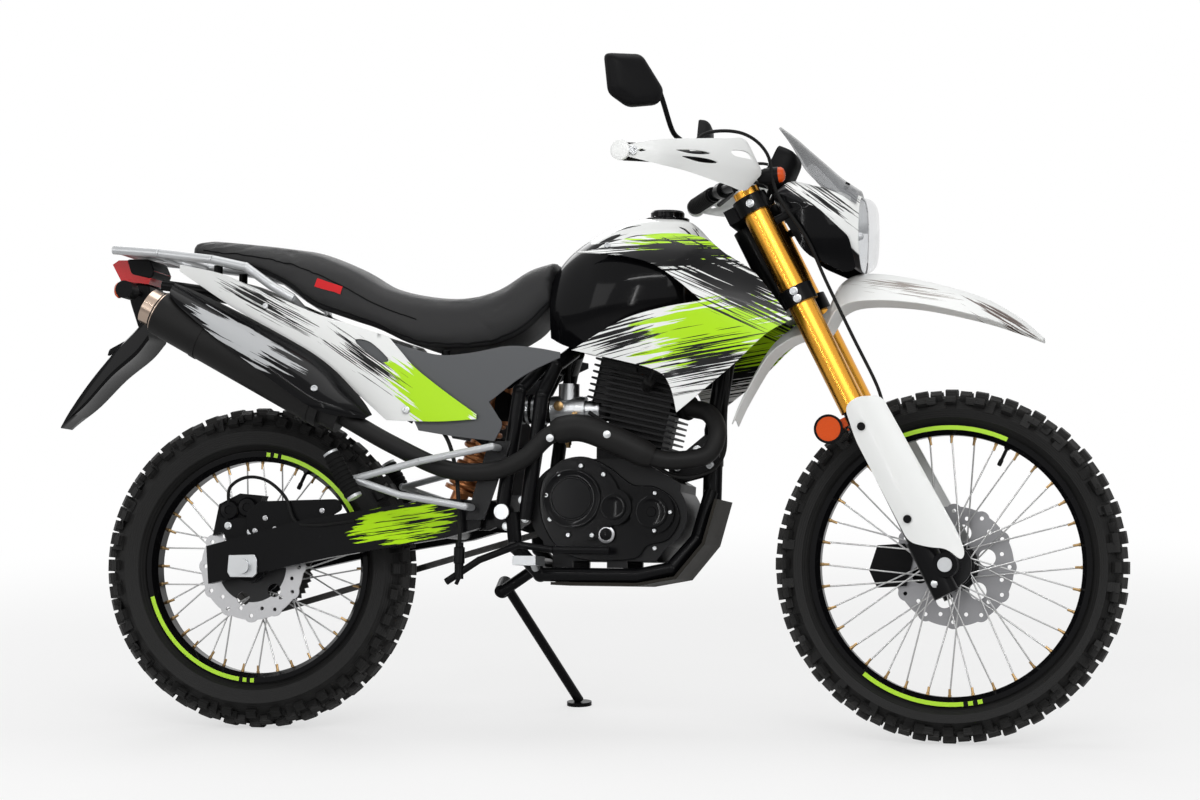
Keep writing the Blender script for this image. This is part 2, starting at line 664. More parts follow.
FINISH = {"frame": "frame seat_rails foot_levers fork_legs fork_clamps handlebar side_stand",
          "cast": "engine_case engine_barrel", "cover": "engine_covers",
          "zinc": "carburettor rear_axle front_axle", "exhaust": "exhaust_header heat_shield muffler",
          "skid": "skid_plate", "arm": "swing_arm", "bronze": "rear_shock", "chain": "chain rear_sprocket",
          "plastic": "rear_caliper rear_fender plate_hanger rear_indicators instrument mirrors front_caliper",
          "silver": "luggage_rack", "red": "tail_light", "alloy": "rider_pegs", "pegs": "passenger_pegs",
          "gold": "fork_tubes", "white": "fork_guards", "amber": "fork_reflectors",
          "front_tyre": "front_tyre", "gloss": "front_rim rear_rim muffler_shield", "front_hub": "front_hub",
          "front_disc": "front_disc", "rear_tyre": "rear_tyre", "rear_hub": "rear_hub",
          "rear_disc": "rear_disc", "clear": "headlight_lens"}
for finish, names in FINISH.items():
    for name in names.split():
        data = nodes[name].data
        data.materials.clear()
        data.materials.append(LOOKS[finish])

# Fuel tank

tank_rows = [(614, 928, 790, 78), (645, 964, 774, 100), (684, 993, 766, 122), (728, 1016, 768, 142),
             (782, 1033, 774, 152), (842, 1035, 782, 154), (888, 1026, 792, 146), (924, 992, 808, 96),
             (952, 966, 832, 66), (978, 946, 866, 54)]


def tank_ring(x, zt, zb, w):
    """Ring of the tank, open below round the frame's spine."""
    spine = 790 + (x - 640) * 0.2868
    shares = [(0.84, 0), (1, 0.32), (0.95, 0.6), (0.76, 0.83), (0.4, 0.96), (0, 1), (-0.4, 0.96)]
    return dome(x, zb, zt, w, shares, [(36, spine + 30), (36, zb)])


tank = piece("tank_shell", loft([tank_ring(*r) for r in tank_rows]), "tank", "fuel_tank")
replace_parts(tank, "fuel_tank")
FILLER = Vector((836, 0, 1031))
cap = merged(lathe([(44, -6), (44, 4), (40, 6)], FILLER, UP, 48),
             lathe([(34, 4), (34, 16), (31, 20), (20, 21), (18, 19), (0, 19)], FILLER, UP, 48))
piece("filler_cap", cap, "gloss", "fuel_tank")
ring = [bolt(FILLER + Vector((38 * math.cos(a), 38 * math.sin(a), 4)), UP, 2.4, 2.5)
        for a in (math.pi * k / 3 for k in range(6))]
piece("filler_screws", merged(*ring), "zinc", "fuel_tank")

# Side sheets of the bodywork


def skin(name, rings, finish, node):
    """Thin lofted sheet in the place of a solid."""
    obj = piece(name, loft(rings, 6, wrap=False, caps=False), finish, node, sharp=60)
    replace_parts(thicken(obj, SHEET), node)


def sheet_pair(name, edge, corners, samples, finish, node, holes=(), step=11):
    """A curved panel on each side of the bike, cut to an outline."""
    y = fitted(samples)
    mesh = fill(outline(edge, corners), lambda a, b: (a, -y(a, b), b), step, holes)
    return thicken(piece(name, both(*mesh), finish, node), SHEET), y


def strip_samples(rows, base=0.0, bulge=5.0):
    out = []
    for a, b, c, d, e, f in rows:
        for k in (0, 0.25, 0.5, 0.75, 1):
            out.append((a + (d - a) * k, base + c + (f - c) * k + bulge * 4 * k * (1 - k), b + (e - b) * k))
    return out


shroud_rows = [
    (673, 960, 125, 673, 950, 130), (740, 981, 122, 717, 953, 150), (835, 998, 124, 770, 945, 165),
    (925, 984, 138, 837, 926, 178), (985, 944, 152, 895, 893, 185), (1040, 908, 158, 930, 864, 188),
    (1113, 817, 166, 941, 854, 190), (1065, 788, 175, 939, 850, 190), (1007, 732, 182, 934, 848, 190),
    (945, 680, 180, 926, 846, 190), (890, 635, 172, 915, 844, 190), (868, 692, 176, 890, 840, 188),
    (845, 718, 176, 850, 832, 186), (770, 738, 170, 779, 812, 180), (676, 757, 158, 676, 763, 162)]
shroud_edge = [(673, 955), (717, 960), (742, 972), (835, 990), (925, 984), (985, 944), (1040, 908),
               (1113, 817), (1065, 788), (1007, 732), (945, 680), (890, 635), (876, 687), (850, 716),
               (770, 738), (676, 758), (779, 814), (860, 838), (939, 852), (890, 893), (837, 927), (770, 945),
               (717, 952)]
shroud, shroud_y = sheet_pair("shroud_panels", shroud_edge, [0, 7, 11, 15, 18], strip_samples(shroud_rows),
                              "shroud", "tank_shrouds")
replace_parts(shroud, "tank_shrouds")

side_rows = [(293, 781, 0, 293, 772, 0), (330, 770, 0, 330, 690, 2), (363, 760, 0, 363, 602, 4),
             (440, 752, 0, 440, 590, 5), (519, 764, 0, 519, 580, 6), (536, 768, 0, 536, 640, 6),
             (556, 770, 0, 556, 697, 5), (600, 765, 0, 600, 724, 4), (649, 755, 0, 649, 746, 4)]
side_edge = [(293, 781), (350, 763), (407, 751), (470, 756), (542, 769), (600, 765), (649, 756), (649, 745),
             (600, 722), (563, 700), (523, 669), (507, 657), (526, 628), (534, 611), (519, 579), (440, 588),
             (363, 600), (345, 640), (318, 720)]
panel, _ = sheet_pair("side_covers", side_edge, [0, 6, 7, 11, 14, 16], strip_samples(side_rows, 134, 4),
                      "grey", "side_panels")
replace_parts(panel, "side_panels")

tail_rows = [(-150, 938, -24, -150, 924, -24), (-60, 918, -16, -60, 866, -14), (0, 894, -11, 0, 830, -8),
             (91, 857, -6, 91, 780, -4), (143, 836, -4, 143, 745, -2), (200, 818, -2, 200, 704, 0),
             (298, 788, 0, 298, 624, 4), (325, 760, 1, 325, 619, 5), (357, 724, 2, 357, 619, 6),
             (420, 678, 4, 420, 620, 7), (484, 632, 6, 484, 622, 8)]
tail_edge = [(-150, 938), (-60, 918), (0, 894), (91, 857), (143, 836), (200, 818), (298, 788), (325, 758),
             (357, 724), (420, 676), (484, 632), (484, 622), (400, 617), (298, 620), (270, 644), (200, 704),
             (143, 745), (91, 780), (0, 830), (-60, 866), (-150, 924)]
slot = outline([(232, 782), (262, 776), (300, 742), (282, 738), (240, 768)], [])
tail, tail_y = sheet_pair("tail_covers", tail_edge, [0, 6, 10, 11, 13, 20], strip_samples(tail_rows, 142, 4),
                          "tail", "tail_panels", holes=[slot])
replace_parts(tail, "tail_panels")
backing = outline([(222, 792), (268, 784), (314, 742), (284, 728), (228, 766)], [])
piece("tail_slots", both(*fill(backing, lambda a, b: (a, -tail_y(a, b) + 6, b), 12)), "grey", "tail_panels")

# Shield over the muffler

shield_rows = [
    (446, 66, -8, 432, 44, 30, 6), (400, 72, -14, 396, 32, 42, 14), (300, 78, -18, 288, 14, 56, 22),
    (200, 80, -19, 186, 2, 58, 24), (124, 79, -19, 112, -7, 58, 24), (70, 72, -18, 62, -11, 58, 24),
    (24, 60, -14, 22, -8, 54, 26), (-20, 46, -8, -14, 4, 40, 16), (-50, 32, -2, -46, 18, 16, 4)]


def shield_ring(ta, da, sa, tb, db, sb, bulge, count=12):
    ring = []
    for k in (i / count for i in range(count + 1)):
        at = MUFFLER_IN + (ta + (tb - ta) * k) * MUFFLER_WAY + (da + (db - da) * k) * MUFFLER_UP
        ring.append(Vector((at.x, -(MUFFLER_Y + sa + (sb - sa) * k + bulge * 4 * k * (1 - k)), at.z)))
    return ring


skin("shield_shell", [shield_ring(*r) for r in shield_rows], "shield", "muffler_shield")
spot = shield_ring(*shield_rows[5])[7]
piece("shield_screw", cap_screw(spot, (0.2, -0.85, 0.45), 7, 4), "zinc", "muffler_shield")

# Exhaust pipe and its heat shield, bent where the solids are mitred

pipe_path = spline([(894, -40, 652), (936, -68, 640), (958, -92, 604), (944, -104, 560), (900, -114, 546),
                    (842, -126, 548), (764, -140, 582), (690, -146, 606), (632, -149, 590), (584, -152, 546),
                    (520, -153, 520), (428, -155, 522), MUFFLER_IN - 118 * MUFFLER_WAY, MUFFLER_IN], 10)
pipe = piece("exhaust_pipe", sweep(pipe_path, PIPE_R, 28), "exhaust", "exhaust_header")
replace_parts(pipe, "exhaust_header")
hot = [p for k, p in enumerate(pipe_path) if 640 <= p[0] <= 838 and k > 40]
swell = [PIPE_R + 0.6 + 8.4 * min(1, 0.45 + k / 4, 0.45 + (len(hot) - 1 - k) / 4) for k in range(len(hot))]
hot_cover = piece("header_shield", sweep(hot, swell, 28), "exhaust", "heat_shield")
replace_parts(hot_cover, "heat_shield")

# Seat

seat_rows = [(-138, 960, 986, 76), (-118, 950, 995, 100), (-8, 926, 985, 120), (70, 894, 976, 126),
             (132, 850, 966, 128), (207, 824, 936, 128), (271, 802, 900, 128), (346, 770, 880, 126),
             (430, 764, 874, 120), (502, 772, 892, 110), (564, 800, 932, 97), (613, 852, 953, 80)]


def puff(obj, cap, voxel=0.006, pressure=4, frames=15):
    """Swells a pad like foam under a tight cover, with a cap on how far a point may move."""
    m = obj.modifiers.new("even", "REMESH")
    m.mode = "VOXEL"
    m.voxel_size = voxel
    apply_all(obj)
    start = [v.co.copy() for v in obj.data.vertices]
    floor = {v.index for v in obj.data.vertices if v.normal.z < -0.6}
    group = obj.vertex_groups.new(name="base")
    group.add(list(floor), 1.0, "REPLACE")
    c = obj.modifiers.new("cover", "CLOTH")
    c.settings.use_pressure = True
    c.settings.uniform_pressure_force = pressure
    c.settings.effector_weights.gravity = 0
    c.settings.vertex_group_mass = "base"
    scene = bpy.context.scene
    for k in range(frames):
        scene.frame_set(k + 1)
    apply_all(obj)
    scene.frame_set(1)
    for v, a in zip(obj.data.vertices, start):
        d = v.co - a
        if d.length > cap:
            v.co = a + d * (cap / d.length)


def apply_all(obj):
    """Bakes an object's modifiers into its mesh."""
    deps = bpy.context.evaluated_depsgraph_get()
    mesh = bpy.data.meshes.new_from_object(obj.evaluated_get(deps))
    obj.modifiers.clear()
    old = obj.data
    obj.data = mesh
    bpy.data.meshes.remove(old)


# The pad starts smaller by about what the simulation adds, in millimetres
SWELL, BASE_LIFT = 4, 3
shares = [(0.9, 0), (1, 0.2), (0.97, 0.55), (0.84, 0.84), (0.5, 0.97), (0, 1), (-0.5, 0.97)]
pad = [dome(x, zb + BASE_LIFT, zt - SWELL, w - SWELL, shares) for x, zb, zt, w in seat_rows]
seat = piece("seat_pad", loft(pad), "vinyl", "seat", sharp=180)
puff(seat, SWELL / 1000)
for poly in seat.data.polygons:
    poly.use_smooth = True
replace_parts(seat, "seat")
tree = BVHTree.FromPolygons([v.co for v in seat.data.vertices],
                            [tuple(p.vertices) for p in seat.data.polygons])


def on_seat(p):
    """The nearest place on the seat cover, as a point of the upright bike."""
    spot = tree.find_nearest(bike(p))[0]
    return TILT.transposed() @ (spot * 1000 + HOME)


seam_rows = [(-110, 110, 975), (0, 126, 962), (90, 132, 944), (180, 134, 905), (270, 134, 858),
             (350, 132, 828)]
for side in SIDES:
    tag = "right" if side < 0 else "left"
    seam = [on_seat(p) for p in spline([(x, side * y, z) for x, y, z in seam_rows], 10)]
    piece("seat_seam_" + tag, sweep(seam, 1.6, 8), "plastic", "seat")
    rim = [on_seat(p) for p in spline([(x, side * w, zb + 9) for x, zb, zt, w in seat_rows[1:]], 6)]
    piece("seat_piping_" + tag, sweep(rim, 2.2, 8), "plastic", "seat")
tag_low, tag_high = ((137, 891), (192, 877)), ((144, 912), (197, 896))
flag = []
for v in (0, 0.5, 1):
    for u in (0, 0.25, 0.5, 0.75, 1):
        x, z = ((1 - v) * ((1 - u) * tag_low[0][i] + u * tag_low[1][i])
                + v * ((1 - u) * tag_high[0][i] + u * tag_high[1][i]) for i in (0, 1))
        flag.append(on_seat((x, -136, z)) + Vector((0, -0.8, 0)))
thicken(piece("seat_tag", (flag, grid_faces(3, 5)), "tag", "seat"), 1.0, 0, 1)

# Front fender, fairing and screen


def arch(x, z, w, drop, place, count=12):
    return [place((x, w * k, z - drop * k * k)) for k in (i / count for i in range(-count, count + 1))]


fender_rows = [(-160, -250, 40, 10), (-140, -200, 48, 14), (-91, -110, 56, 20), (-50, -70, 60, 26),
               (-18, -48, 64, 36), (22, -34, 66, 44), (52, 22, 70, 56), (104, 42, 72, 60), (207, 29, 74, 52),
               (325, -4, 70, 44), (400, -44, 58, 28), (452, -87, 30, 6)]
skin("fender_blade", [arch(*r, lower) for r in fender_rows], "fender", "front_fender")
posts = [lathe([(9, -46), (9, -17)], steer(-30, s * 25, CLAMP_LOW), FORK_WAY, 24) for s in SIDES]
piece("fender_posts", merged(*posts), "plastic", "front_fender")

fairing_rows = [
    (40, 6, 34, 96), (70, -10, 56, 108), (120, -46, 46, 114), (170, -98, 40, 108), (208, -126, 26, 92)]


def cowl_ring(x, zb, zt, w):
    h = zt - zb
    pts = [(0, 0), (0.5, 0.02), (0.86, 0.2), (1, 0.5), (0.88, 0.8), (0.5, 0.97), (0, 1)]
    half = [(w * a, zb + h * b) for a, b in pts]
    loop = half + [(-a, b) for a, b in reversed(half[1:-1])]
    return [upper((x, p[0], p[1])) for p in spline(loop, 4, closed=True)]


cowl = piece("cowl_shell", loft([cowl_ring(*r) for r in fairing_rows], 6, caps=False), "fairing",
             "headlight_fairing", sharp=60)
thicken(cowl, SHEET)
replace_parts(cowl, "headlight_fairing")
cheek_edge = rounded([(46, 26), (60, -24), (98, -86), (116, -102), (182, -132), (204, -124), (190, -62),
                      (130, -6)], 10)


def cheek(a, b):
    """Side sheet of the fairing below its shoulder, drawn in towards its lower edge."""
    bow = 16 * math.sin(math.pi * min(max((a - 40) / 170, 0), 1))
    return upper((a, -(99 + bow - 0.0012 * min(b, 0) ** 2), b))


thicken(piece("cowl_cheeks", both(*fill(cheek_edge, cheek, 12)), "gloss", "headlight_fairing"), SHEET)
lens_rows = [(206, -125, 25, 91.5), (214, -122, 23, 87), (224, -116, 20, 79), (231, -107, 12, 62),
             (235, -96, 0, 36)]
rings = [cowl_ring(*r) for r in lens_rows]
lens = piece("lamp_lens", loft(rings, 4, caps=False), "clear", "headlight_lens", sharp=180)
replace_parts(lens, "headlight_lens")
top_ring = rings[-1]
mid = sum(top_ring, Vector()) / len(top_ring) + Vector((2, 0, 0))
nose = [Vector(p) for p in top_ring] + [mid]
piece("lamp_front", (nose, [(i, (i + 1) % len(top_ring), len(top_ring)) for i in range(len(top_ring))]),
      "clear", "headlight_lens", sharp=180)
bowl_rows = [(206, -121, 21, 87), (185, -100, 4, 66), (166, -78, -18, 40), (158, -62, -36, 16)]
piece("lamp_bowl", loft([cowl_ring(*r) for r in bowl_rows], 5, caps=False), "mirror", "headlight_fairing",
      sharp=180)
bulb = lathe([(14, 0), (14, 22), (9, 24), (9, 44), (6, 50), (0, 52)], upper((156, 0, -50)), AHEAD, 24)
piece("lamp_bulb", bulb, "zinc", "headlight_fairing")
ears = [sweep([steer(-AXLE_LEAD + TUBE_R, s * LEG_Y, CLAMP_HIGH - 48), steer(60, s * LEG_Y, CLAMP_HIGH - 48)],
              8, 12) for s in SIDES]
piece("cowl_ears", merged(*ears), "plastic", "headlight_fairing")

screen_rows = [(40, 171, 22, 4), (72, 147, 50, 24), (98, 124, 64, 46), (128, 98, 74, 50), (165, 66, 82, 40),
               (203, 40, 86, 34)]
skin("screen_sheet", [arch(*r, upper) for r in screen_rows], "screen", "windscreen")
screws = [cap_screw(upper((180, s * 50, 47)), (0.5, 0, 1), 5, 4) for s in SIDES]
piece("screen_screws", merged(*screws), "gloss", "windscreen")

# Rear fender

rear_rows = [(330, 640, 60, 20), (250, 686, 66, 24), (150, 732, 70, 26), (50, 782, 70, 26),
             (-60, 830, 68, 24), (-180, 862, 64, 22), (-235.6, 862, 60, 20)]
skin("rear_guard", [arch(*r, Vector) for r in rear_rows], "plastic", "rear_fender")

# Plate hanger: a ribbed blade below a short neck

hanger_rows = [(-236, 856, 790, 58), (-264, 815, 757, 56), (-317, 763, 714, 52), (-371, 700, 658, 46),
               (-410, 645, 626, 40), (-430, 613, 608, 34)]


def hanger_ring(x, zt, zb, w):
    h = zt - zb
    top = [(-1, 0.55), (-0.94, 0.9), (-0.8, 1), (-0.62, 0.97), (-0.56, 0.8), (-0.2, 0.76), (-0.12, 0.94)]
    top += [(-a, b) for a, b in reversed(top)]
    under = [(1, 0.15), (0.9, 0), (0.5, 0.04), (-0.5, 0.04), (-0.9, 0), (-1, 0.15)]
    return [Vector((x, a * w, zb + h * b)) for a, b in top + under]


blade = piece("hanger_blade", loft([hanger_ring(*r) for r in hanger_rows], 5), "gloss", "plate_hanger",
              sharp=40)
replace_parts(blade, "plate_hanger")
neck = prism(rounded([(-237, 828), (-241, 904.7), (-290, 910), (-282, 868), (-262, 812)], 8), -45, 45)
soften(piece("hanger_neck", neck, "plastic", "plate_hanger"), 5)
clips = [prism(rounded([(-300, 776), (-296, 790), (-330, 772), (-334, 758)], 4), y - 5, y + 5)
         for y in (-26, 26)]
soften(piece("plate_clips", merged(*clips), "plastic", "plate_hanger"), 1.5)
soften(nodes["tail_light"], 6)
cover = prism(rounded([(-227, 931), (-239, 957), (-288, 957), (-278, 926), (-252, 920), (-234, 916)], 6), -54,
              54)
soften(piece("lamp_cover", cover, "plastic", "tail_light"), 4)

# Hand guards: a bent sheet with slots and holes

guard_rows = [(424, -206, 50, 80), (398, -142, 42, 90), (330, -92, 38, 100), (250, -36, 24, 112),
              (190, -2, 20, 116), (150, 14, 42, 78)]


def guard_place(u, v):
    """u from the bar end (0) to the inner end (1), v up the sheet from 0 to 1."""
    k = min(max(u, 0), 1) * (len(guard_rows) - 1)
    i = min(int(k), len(guard_rows) - 2)
    rows = [guard_rows[max(i - 1, 0)], guard_rows[i], guard_rows[i + 1],
            guard_rows[min(i + 2, len(guard_rows) - 1)]]
    t = k - i
    w = (-0.5 * t + t * t - 0.5 * t ** 3, 1 - 2.5 * t * t + 1.5 * t ** 3, 0.5 * t + 2 * t * t - 1.5 * t ** 3,
         -0.5 * t * t + 0.5 * t ** 3)
    y, x, zb, zt = (sum(a * r[j] for a, r in zip(w, rows)) for j in range(4))
    crown = 10 * 4 * v * (1 - v)
    return upper((x + crown, -y - 0.4 * crown, zb + (zt - zb) * v))


rim = outline([(0, 0.3), (0, 0.7), (0.1, 0.9), (0.3, 1), (0.62, 1), (0.84, 1), (1, 0.75), (1, 0.3), (0.84, 0),
               (0.62, 0), (0.3, 0), (0.1, 0.1)], [])
slots = [[(0.30, 0.60), (0.44, 0.66), (0.50, 0.60), (0.40, 0.52)],
         [(0.34, 0.40), (0.48, 0.46), (0.54, 0.40), (0.44, 0.32)],
         [(0.64, 0.74), (0.80, 0.74), (0.82, 0.62), (0.66, 0.62)],
         [(0.09, 0.52), (0.11, 0.60), (0.13, 0.52), (0.11, 0.44)]]
sheet = fill(rim, guard_place, 0.05, [outline(hole, [], 6) for hole in slots])
guards = piece("guard_sheets", both(*sheet), "white", "hand_guards", sharp=60)
thicken(guards, 3.5)
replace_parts(guards, "hand_guards")
stay = ((-50, 150, 82), (-10, 153, 74), (16, 158, 62))
stays = [sweep(spline([upper((x, s * y, z)) for x, y, z in stay], 6), 6, 12) for s in SIDES]
piece("guard_stays", merged(*stays), "plastic", "hand_guards")
caps = [lathe([(15, -2), (19, 0), (19, 8), (15, 10), (6, 10)], upper((-203, s * 420, 66)), (-0.2, s, 0), 32)
        for s in SIDES]
piece("guard_ends", merged(*caps), "white", "hand_guards")
spot = guard_place(0.06, 0.5)
screws = [cap_screw((spot.x, -s * spot.y, spot.z), (0.6, s * 0.8, 0), 9, 5) for s in SIDES]
piece("guard_screws", merged(*screws), "zinc", "hand_guards")

# Rim tape, spoke nipples, valve stems and shoulder lugs


def wheel_point(mid, r, y, a):
    return Vector((mid[0] + r * math.cos(a), y, mid[1] + r * math.sin(a)))


def tape(mid, r0, r1, y, a0, a1):
    """Arc of thin tape on both faces of a rim."""
    count = max(int(abs(a1 - a0) / 3), 2)
    turn = [math.radians(a0 + (a1 - a0) * k / count) for k in range(count + 1)]
    parts = []
    for side in SIDES:
        pts = [wheel_point(mid, r, side * y, a) for a in turn for r in (r0, r1)]
        parts.append((pts, grid_faces(len(turn), 2)))
    return merged(*parts)


def dress_wheel(name, mid, bed, crown, arcs):
    """Tape arcs, spoke nipples and a valve on one wheel."""
    y = crown * 0.54 + 0.35
    lime = [tape(mid, bed + 10, bed + 18.5, y, a, b) for a, b in arcs]
    ends = [tape(mid, bed + 10, bed + 18.5, y, b + k, b + k + 2) for a, b in arcs for k in (2, 6)]
    thicken(piece(name + "_tape", merged(*lime), "lime", name + "_rim"), 0.3, 0, 0)
    thicken(piece(name + "_tape_ends", merged(*ends), "lime", name + "_rim"), 0.3, 0, 0)
    parts = []
    for i in range(SPOKES):
        a = 2 * math.pi * i / SPOKES
        side = 1 if i % 2 == 0 else -1
        head = wheel_point(mid, bed - 0.5, side * 7, a)
        inward = wheel_point(mid, bed - 20, side * 9, a) - head
        parts.append(lathe([(3.6, -1), (3.6, 3), (2.8, 4), (2.6, 15)], head, inward, 8))
    piece(name + "_nipples", merged(*parts), "brass", name + "_hub")
    a = math.radians(65)
    out = wheel_point(mid, bed - 40, 0, a) - wheel_point(mid, bed, 0, a)
    stem = [(6, 0), (6, 4), (3.5, 5), (3.5, 26), (4.5, 27), (4.5, 38), (3, 40)]
    piece(name + "_valve", lathe(stem, wheel_point(mid, bed + 1, 0, a), out, 16), "plastic", name + "_rim")


def shoulder_lugs(name, mid, r, count):
    """Blocks moulded on the tyre's shoulders, alternately long and short."""
    mesh = nodes[name + "_tyre"].data
    tread = BVHTree.FromPolygons([v.co for v in mesh.vertices], [tuple(p.vertices) for p in mesh.polygons])
    parts = []
    for side in SIDES:
        inward = TILT @ Vector((0, -side, 0))
        for k in range(count):
            a = 2 * math.pi * (k + 0.5 * (side > 0)) / count
            half = 0.26 * 2 * math.pi / count
            low = r - (40 if k % 2 else 30)
            spots = [(low, a - half), (low, a + half), (r - 15, a + half), (r - 15, a - half)]
            hits = [tread.ray_cast(bike(wheel_point(mid, q, side * 150, t)), inward)[0] for q, t in spots]
            if None in hits:
                continue
            base = [TILT.transposed() @ (h * 1000 + HOME) for h in hits]
            foot = [q + Vector((0, -3 * side, 0)) for q in base]
            top = [q + Vector((0, lift * side, 0)) for q, lift in zip(base, (2.5, 2.5, 5, 5))]
            parts.append((foot + top, [(4, 5, 6, 7), (0, 1, 5, 4), (1, 2, 6, 5), (2, 3, 7, 6), (3, 0, 4, 7)]))
    soften(piece(name + "_lugs", merged(*parts), name + "_tyre", name + "_tyre"), 1.0, 1)


shoulder_lugs("front", (WHEELBASE, FRONT_R), FRONT_R, 52)
shoulder_lugs("rear", (0, REAR_R), REAR_R, 44)
dress_wheel("front", (WHEELBASE, FRONT_R), FRONT_BED, FRONT_CROWN, [(66, 112), (232, 276)])
dress_wheel("rear", (0, REAR_R), REAR_BED, REAR_CROWN, [(20, 78), (196, 262)])

# Chassis bolts

zinc_right = [(868, -31.3, 535), (908, -31.3, 570), (934, -31.3, 585), (934, -31.3, 540)]
fixings = [bolt(p, RIGHT, 6.5, 6) for p in zinc_right]
fixings += [bolt((x, -y, z), LEFT, 6.5, 6) for x, y, z in zinc_right]
fixings += [bolt(p, RIGHT, 7, 7) for p in ((540, -110.5, 412), (578, -110.5, 428), (572, -110.5, 464))]
fixings += [bolt((639, -173, 584), RIGHT, 6, 4), bolt((752, -168.5, 592), RIGHT, 6, 4)]
fixings += [cap_screw((340, -tail_y(340, 640) - 0.2, 640), RIGHT, 8, 4)]
fixings += [cap_screw((40, -tail_y(40, 850) - 0.2, 850), RIGHT, 6, 4)]
fixings += [cap_screw((742, -shroud_y(742, 966) - 0.2, 966), (0, -0.9, 0.4), 6, 4)]
fixings += [bolt((x, -89.7, z), RIGHT, 6, 6) for x, z in ((-44, 408), (4, 396), (-12, 350))]
piece("chassis_bolts", merged(*fixings), "zinc", "rear_axle")

# Engine covers


def screw_ring(x, y, z, r, turns, head):
    """Cap screws in a circle on a right-hand cover, at turns in degrees."""
    return [cap_screw((x + r * math.cos(a), y, z + r * math.sin(a)), RIGHT, head, 4)
            for a in map(math.radians, turns)]


covers = screw_ring(690, -114, 462, 70.5, range(50, 291, 40), 4.4)
covers += screw_ring(832, -111.5, 443, 37.5, (-80, 0, 80), 4)
low = ((640, 372), (700, 360), (770, 360), (836, 372), (868, 404))
covers += [cap_screw((x, -90, z), RIGHT, 4.4, 5) for x, z in low]
piece("engine_screws", merged(*covers), "zinc", "engine_covers")
SIGHT = (741, -107, 398)
sight = lathe([(17, -4), (17, 2), (14, 3.5), (12.5, 3.5), (12, 1)], SIGHT, RIGHT, 32)
piece("sight_ring", sight, "steel", "engine_covers")
sight = lathe([(12.2, 0), (12.2, 1.2), (8, 2.2), (0, 2.6)], SIGHT, RIGHT, 32)
piece("sight_glass", sight, "gloss", "engine_covers")
rims = [lathe([(58.5, -2), (58.5, 1.2), (55, 1.8), (52, 0.4), (44, 0.4), (43, 1.4), (40, 1.4), (39, 0.2),
               (0, 0.2)], (672, -117, 468), RIGHT, 48),
        lathe([(25.4, -2), (25.4, 1), (22, 1.5), (18, 0.4), (0, 0.4)], (756, -119.5, 452), RIGHT, 36),
        lathe([(31.4, -2), (31.4, 1), (28, 1.5), (24, 0.4), (10, 0.4), (9, 2.5), (0, 2.5)], (832, -113, 443),
              RIGHT, 36)]
piece("cover_rims", both(*merged(*rims)), "gloss", "engine_covers")

case_edge = [(602, 470), (612, 512), (642, 542), (692, 552), (742, 532), (790, 498), (834, 494), (872, 470),
             (886, 430), (864, 390), (822, 376), (800, 352), (740, 346), (682, 350), (638, 374), (610, 420)]
casting = fill(outline(case_edge, [], 6), lambda a, b: (a, -90.2, b), 16)
thicken(piece("side_castings", both(*casting), "cover", "engine_covers"), 7, 2.5, 1)

# Spark plug and cylinder head

plug = merged(lathe([(9, 0), (9, 18), (11, 20), (11, 46), (7, 50)], (812, -78, 690), (0.3, -0.9, 0.25), 20),
              sweep(spline([(826, -122, 702), (836, -132, 722), (828, -120, 752), (800, -80, 776),
                            (770, -40, 790)], 8), 3.5))
piece("spark_plug_cap", plug, "hose", "engine_barrel")
BARREL, BARREL_LEAN = Vector((776, 0, 548)), math.radians(12)
BARREL_WAY = Vector((math.sin(BARREL_LEAN), 0, math.cos(BARREL_LEAN)))
ACROSS = Vector((BARREL_WAY.z, 0, -BARREL_WAY.x))


def head_plate(x0, x1, half, s0, s1):
    """Slab square to the barrel's axis, from x0 to x1 along the bike and s0 to s1 up the axis."""
    edge = rounded([(x0, -half), (x1, -half), (x1, half), (x0, half)], 12)
    rows = [[BARREL + a * ACROSS + Vector((0, b, 0)) + h * BARREL_WAY for a, b in edge] for h in (s0, s1)]
    n = len(edge)
    faces = grid_faces(2, n, wrap=True) + [tuple(range(n)), tuple(range(2 * n - 1, n - 1, -1))]
    return rows[0] + rows[1], faces


head = [head_plate(-104, 40, 50, 98, 190)] + [head_plate(-114, 44, 60, h, h + 4) for h in range(104, 186, 13)]
soften(piece("head_fins", merged(*head), "cast", "engine_barrel"), 1.2, 2)

# Carburettor

boot = [(24, 0), (27, 2), (27, 10), (24, 12)]
boot += repeated([(23, 15), (29, 18), (29, 22), (23, 25)], 6, 12) + [(28, 90), (34, 100), (34, 112)]
piece("intake_boot", lathe(boot, (607, -8, 650), (-1, 0, 0.05), 32), "rubber", "carburettor")
jets = merged(lathe([(7, 0), (7, 8), (5, 9), (5, 14)], (641, -8, 587.7), (0, 0, -1), 6),
              lathe([(5, 0), (5, 10), (3, 11), (3, 22)], (660, -34, 640), RIGHT, 12),
              lathe([(10, 0), (10, 6), (6, 8)], (626, -36, 656), RIGHT, 20))
piece("carburettor_brass", jets, "brass", "carburettor")

# Chain adjusters and brakes

